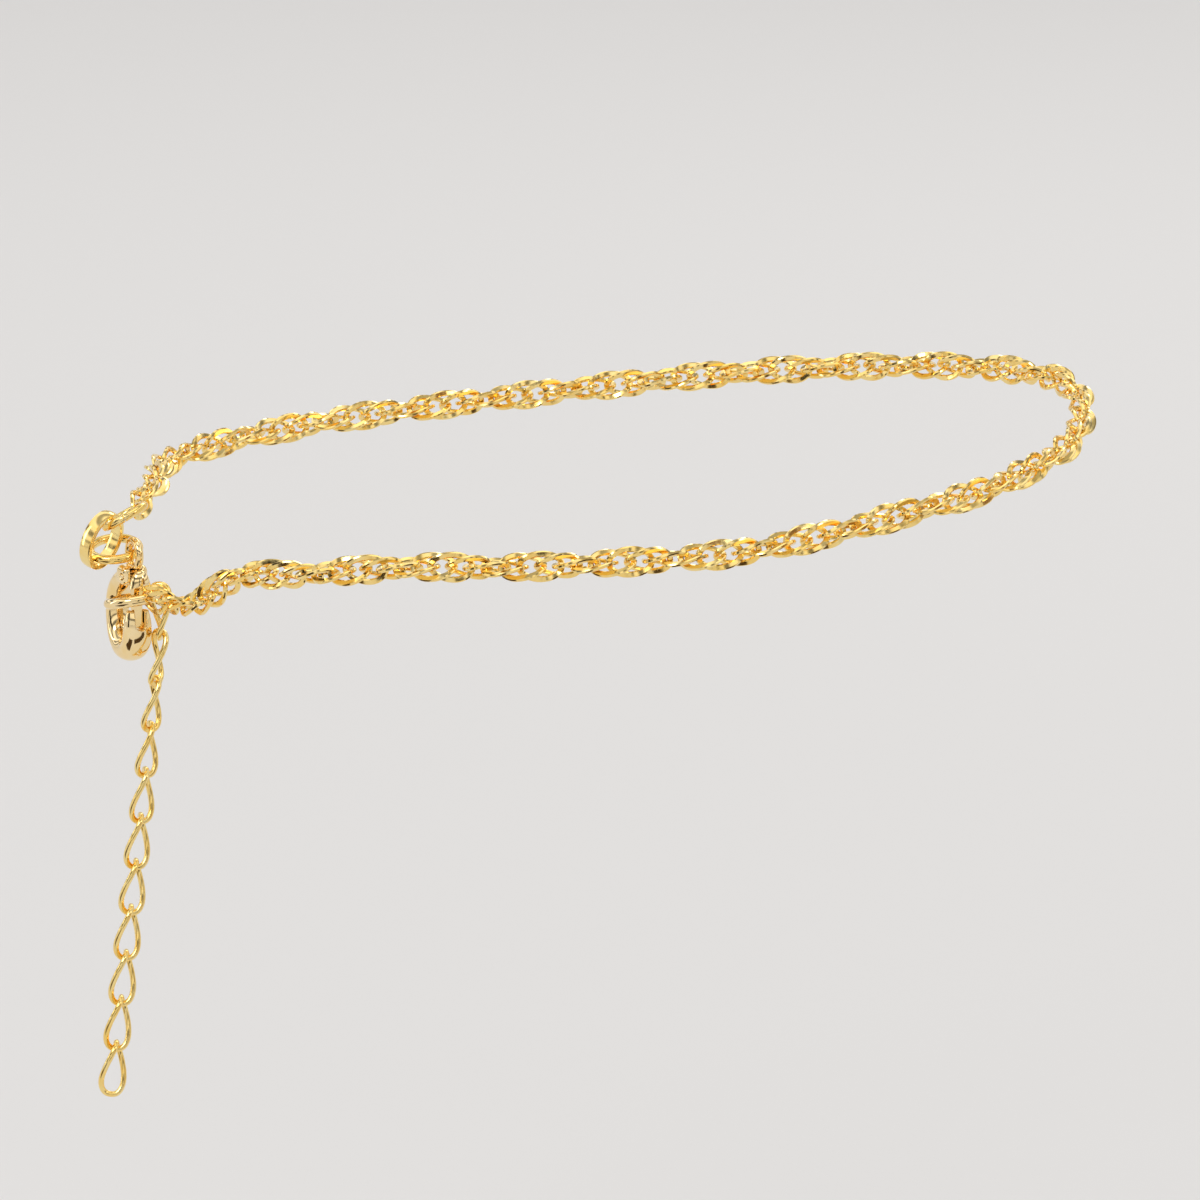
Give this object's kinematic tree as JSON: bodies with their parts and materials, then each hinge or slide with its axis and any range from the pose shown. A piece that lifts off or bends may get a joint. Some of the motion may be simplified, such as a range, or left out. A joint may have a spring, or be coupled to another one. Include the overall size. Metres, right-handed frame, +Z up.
{
  "type": "chain bracelet",
  "caption": "Twisted curb chain bracelet fastened in a loop by a sprung claw clasp, with a hanging extender of quarter-turned oval links.",
  "frame": {"origin": "middle of the wrist, inside the fastened loop", "axes": "+Z up along the arm with the extender hanging towards -Z, +X to the right seen from the clasp's side, +Y to the back of the loop"},
  "size_m": [0.0623, 0.0428, 0.0436],
  "materials": {
    "yellow_gold": "bright polished gold",
    "pale_gold": "bright polished pale gold"
  },
  "bodies": {
    "bracelet": {"singapore_chain": "yellow_gold", "clasp_body": "pale_gold", "clasp_pin": "pale_gold", "clasp_ring": "yellow_gold", "band_ring": "yellow_gold", "end_ring": "yellow_gold", "extender_ring": "pale_gold", "extender_link_01": "yellow_gold", "extender_link_02": "yellow_gold", "extender_link_03": "yellow_gold", "extender_link_04": "yellow_gold", "extender_link_05": "yellow_gold", "extender_link_06": "yellow_gold", "extender_link_07": "yellow_gold", "extender_link_08": "yellow_gold", "extender_link_09": "yellow_gold", "extender_link_10": "yellow_gold", "extender_link_11": "yellow_gold"},
    "lever": {"clasp_lever": "pale_gold"}
  },
  "joints": [
    {"name": "lever_hinge", "type": "hinge", "parent": "bracelet", "child": "lever", "pos_m": [-0.02844, -0.00531, -0.0048], "axis": [0.8988, 0.4384, 0], "range_deg": [0, 25], "stiffness_Nm_per_rad": 0.00002, "springref_deg": -11.46}
  ]
}
